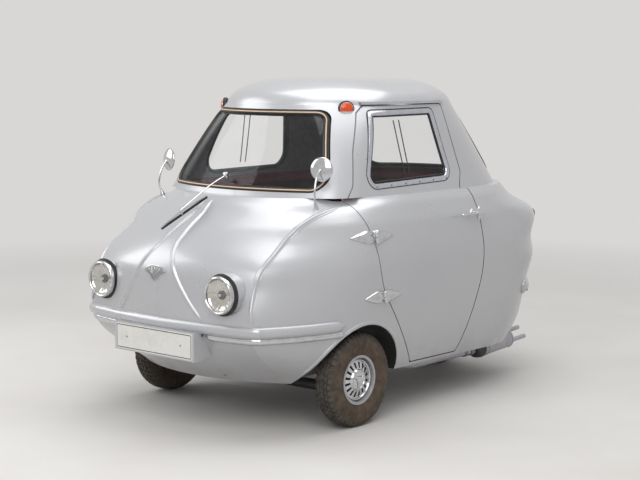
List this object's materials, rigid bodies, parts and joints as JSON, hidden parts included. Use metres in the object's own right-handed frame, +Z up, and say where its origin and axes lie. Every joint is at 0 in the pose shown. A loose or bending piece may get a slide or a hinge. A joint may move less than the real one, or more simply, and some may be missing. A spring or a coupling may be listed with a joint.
{
  "type": "bubble car",
  "caption": "Small three-wheeled bubble car with a hollow bodyshell, glazed cabin, hinged side door, steered front wheels and one rear wheel.",
  "frame": {"origin": "on the ground under the middle of the car", "axes": "+Z up, nose towards -Y, the car's left side towards +X"},
  "size_m": [1.343, 2.3123, 1.492],
  "materials": {
    "body_paint": "metallic satin",
    "black_rubber": "matt",
    "clear_glass": "clear",
    "lamp_glass": "fluted",
    "bright_chrome": "polished",
    "aluminium_trim": "brushed",
    "plate_white": "gloss",
    "amber_lens": "clear amber",
    "red_lens": "clear red",
    "black_trim": "grained",
    "red_trim": "grained leathercloth",
    "black_steel": "satin black",
    "bare_steel": "machined",
    "cast_metal": "rough cast",
    "silver_steel": "heatproof silver",
    "tyre_rubber": "dusty"
  },
  "bodies": {
    "car": {"body_lower": "body_paint", "cabin_top": "body_paint", "windscreen_seal": "black_rubber", "windscreen_glass": "clear_glass", "rear_screen_seal": "black_rubber", "rear_screen_glass": "clear_glass", "side_window_seal": "black_rubber", "side_window_glass": "clear_glass", "bumper_mouldings": "body_paint", "bumper_strips": "bright_chrome", "plate_holder": "body_paint", "number_plate": "plate_white", "headlamp_rims": "bright_chrome", "headlamp_lenses": "lamp_glass", "indicator_lamps": "amber_lens", "tail_lamps": "red_lens", "mirrors": "bright_chrome", "wiper": "bright_chrome", "drip_rail": "aluminium_trim", "body_hinges": "bright_chrome", "badge": "bright_chrome", "dashboard": "black_trim", "side_trim": "red_trim", "seat_base": "black_trim", "engine": "cast_metal", "driver_cushion": "red_trim", "passenger_base": "black_trim", "passenger_cushion": "red_trim", "passenger_back": "red_trim", "exhaust": "silver_steel", "chassis": "black_steel", "rear_fork": "black_steel", "column_bearing": "black_steel"},
    "door": {"door_shell": "body_paint", "door_window_frame": "aluminium_trim", "door_glass": "clear_glass", "door_handle": "bright_chrome", "door_hinges": "bright_chrome"},
    "left_knuckle": {"knuckle_left": "bare_steel"},
    "right_knuckle": {"knuckle_right": "bare_steel"},
    "steering_bar": {"handlebar": "bright_chrome"},
    "front_left_wheel": {"rim_front_left": "silver_steel", "tyre_front_left": "tyre_rubber", "hubcap_front_left": "bright_chrome"},
    "front_right_wheel": {"rim_front_right": "silver_steel", "tyre_front_right": "tyre_rubber", "hubcap_front_right": "bright_chrome"},
    "rear_wheel": {"rim_rear": "silver_steel", "tyre_rear": "tyre_rubber"}
  },
  "joints": [
    {"name": "door_hinge", "type": "hinge", "parent": "car", "child": "door", "pos_m": [0.672, -0.413, 0.563], "axis": [0.0378, 0.1814, -0.9827], "range_deg": [0, 70]},
    {"name": "left_steer", "type": "hinge", "parent": "car", "child": "left_knuckle", "pos_m": [0.474, -0.505, 0.2055], "axis": [0, 0, 1], "range_deg": [-30, 30]},
    {"name": "right_steer", "type": "hinge", "parent": "car", "child": "right_knuckle", "pos_m": [-0.474, -0.505, 0.2055], "axis": [0, 0, 1], "range_deg": [-30, 30]},
    {"name": "bar_turn", "type": "hinge", "parent": "car", "child": "steering_bar", "pos_m": [0, -0.565, 0.232], "axis": [0, 0.3083, 0.9513], "range_deg": [-30, 30]},
    {"name": "front_left_spin", "type": "hinge", "parent": "left_knuckle", "child": "front_left_wheel", "pos_m": [0.566, -0.505, 0.2055], "axis": [1, 0, 0], "continuous": true},
    {"name": "front_right_spin", "type": "hinge", "parent": "right_knuckle", "child": "front_right_wheel", "pos_m": [-0.566, -0.505, 0.2055], "axis": [1, 0, 0], "continuous": true},
    {"name": "rear_spin", "type": "hinge", "parent": "car", "child": "rear_wheel", "pos_m": [0, 0.867, 0.2055], "axis": [1, 0, 0], "continuous": true}
  ],
  "couplings": [
    {"joint": "right_steer", "follows": "left_steer", "ratio": 1},
    {"joint": "bar_turn", "follows": "left_steer", "ratio": 1}
  ]
}
